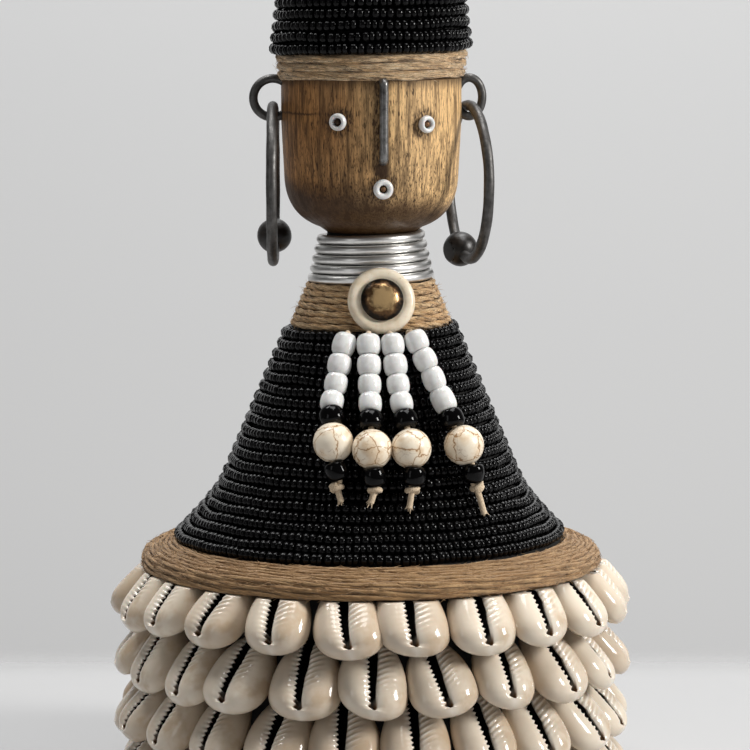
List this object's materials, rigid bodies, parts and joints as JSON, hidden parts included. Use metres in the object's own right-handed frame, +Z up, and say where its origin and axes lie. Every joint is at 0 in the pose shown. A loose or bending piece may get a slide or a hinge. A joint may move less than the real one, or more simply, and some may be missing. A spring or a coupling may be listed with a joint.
{
  "type": "namji doll",
  "caption": "Standing wooden doll dressed in wound black beads, jute twine and wire, with a skirt of cowrie shells, swinging hoop earrings and hanging bead strands.",
  "frame": {"origin": "middle of the round base, on the surface that the doll stands on", "axes": "+Z up along the turned axis, the face looks along -Y, +X to the right as seen from the front"},
  "size_m": [0.1368, 0.1368, 0.2341],
  "materials": {
    "wood": "stained and waxed, with dark grain",
    "black_glass": "opaque glossy black glass",
    "jute": "natural jute twine",
    "aluminium_wire": "satin wire",
    "black_cloth": "matte black cotton",
    "cowrie": "natural glossy shell",
    "iron": "dark forged wire",
    "white_glass": "opaque white glass",
    "nail_iron": "rusty brown",
    "dark_wood": "black-brown, satin",
    "bone": "polished bone with dark specks",
    "bronze": "antiqued",
    "howlite": "polished, with brown veins",
    "cotton_cord": "waxed cotton"
  },
  "bodies": {
    "figure": {"wooden_figure": "wood", "headdress_beads": "black_glass", "headband_twine": "jute", "neck_coil": "aluminium_wire", "shoulder_twine": "jute", "body_beads": "black_glass", "brim_twine": "jute", "skirt_cloth": "black_cloth", "cowrie_row_1": "cowrie", "cowrie_row_2": "cowrie", "cowrie_row_3": "cowrie", "cowrie_row_4": "cowrie", "left_eye_bead": "white_glass", "left_eye_nail": "nail_iron", "right_eye_bead": "white_glass", "right_eye_nail": "nail_iron", "mouth_bead": "white_glass", "mouth_nail": "nail_iron", "nose_wire": "iron", "left_ear_wire": "iron", "right_ear_wire": "iron", "pendant_ring": "bone", "pendant_stud": "bronze"},
    "left_earring": {"left_earring_hoop": "iron", "left_earring_ball": "dark_wood"},
    "right_earring": {"right_earring_hoop": "iron", "right_earring_ball": "dark_wood"},
    "strand_1": {"strand_1_cord": "cotton_cord", "strand_1_white_bead_1": "white_glass", "strand_1_white_bead_2": "white_glass", "strand_1_white_bead_3": "white_glass", "strand_1_white_bead_4": "white_glass", "strand_1_upper_black_bead": "black_glass", "strand_1_howlite_bead": "howlite", "strand_1_lower_black_bead": "black_glass"},
    "strand_2": {"strand_2_cord": "cotton_cord", "strand_2_white_bead_1": "white_glass", "strand_2_white_bead_2": "white_glass", "strand_2_white_bead_3": "white_glass", "strand_2_white_bead_4": "white_glass", "strand_2_upper_black_bead": "black_glass", "strand_2_howlite_bead": "howlite", "strand_2_lower_black_bead": "black_glass"},
    "strand_3": {"strand_3_cord": "cotton_cord", "strand_3_white_bead_1": "white_glass", "strand_3_white_bead_2": "white_glass", "strand_3_white_bead_3": "white_glass", "strand_3_white_bead_4": "white_glass", "strand_3_upper_black_bead": "black_glass", "strand_3_howlite_bead": "howlite", "strand_3_lower_black_bead": "black_glass"},
    "strand_4": {"strand_4_cord": "cotton_cord", "strand_4_white_bead_1": "white_glass", "strand_4_white_bead_2": "white_glass", "strand_4_white_bead_3": "white_glass", "strand_4_white_bead_4": "white_glass", "strand_4_upper_black_bead": "black_glass", "strand_4_howlite_bead": "howlite", "strand_4_lower_black_bead": "black_glass"}
  },
  "joints": [
    {"name": "left_earring_swing", "type": "hinge", "parent": "figure", "child": "left_earring", "pos_m": [-0.0259, 0, 0.17902], "axis": [0.9903, -0.1392, 0], "range_deg": [-60, 60]},
    {"name": "right_earring_swing", "type": "hinge", "parent": "figure", "child": "right_earring", "pos_m": [0.0259, 0, 0.17902], "axis": [0.9945, 0.1045, 0], "range_deg": [-60, 60]},
    {"name": "strand_1_lift", "type": "hinge", "parent": "figure", "child": "strand_1", "pos_m": [-0.00911, -0.0226, 0.12444], "axis": [-0.9275, 0.3739, 0], "range_deg": [0, 70]},
    {"name": "strand_2_lift", "type": "hinge", "parent": "figure", "child": "strand_2", "pos_m": [-0.00386, -0.02406, 0.12444], "axis": [-0.9874, 0.1585, 0], "range_deg": [0, 70]},
    {"name": "strand_3_lift", "type": "hinge", "parent": "figure", "child": "strand_3", "pos_m": [0.00145, -0.02432, 0.12444], "axis": [-0.9982, -0.0593, 0], "range_deg": [0, 70]},
    {"name": "strand_4_lift", "type": "hinge", "parent": "figure", "child": "strand_4", "pos_m": [0.00649, -0.02348, 0.12444], "axis": [-0.9639, -0.2664, 0], "range_deg": [0, 70]}
  ]
}
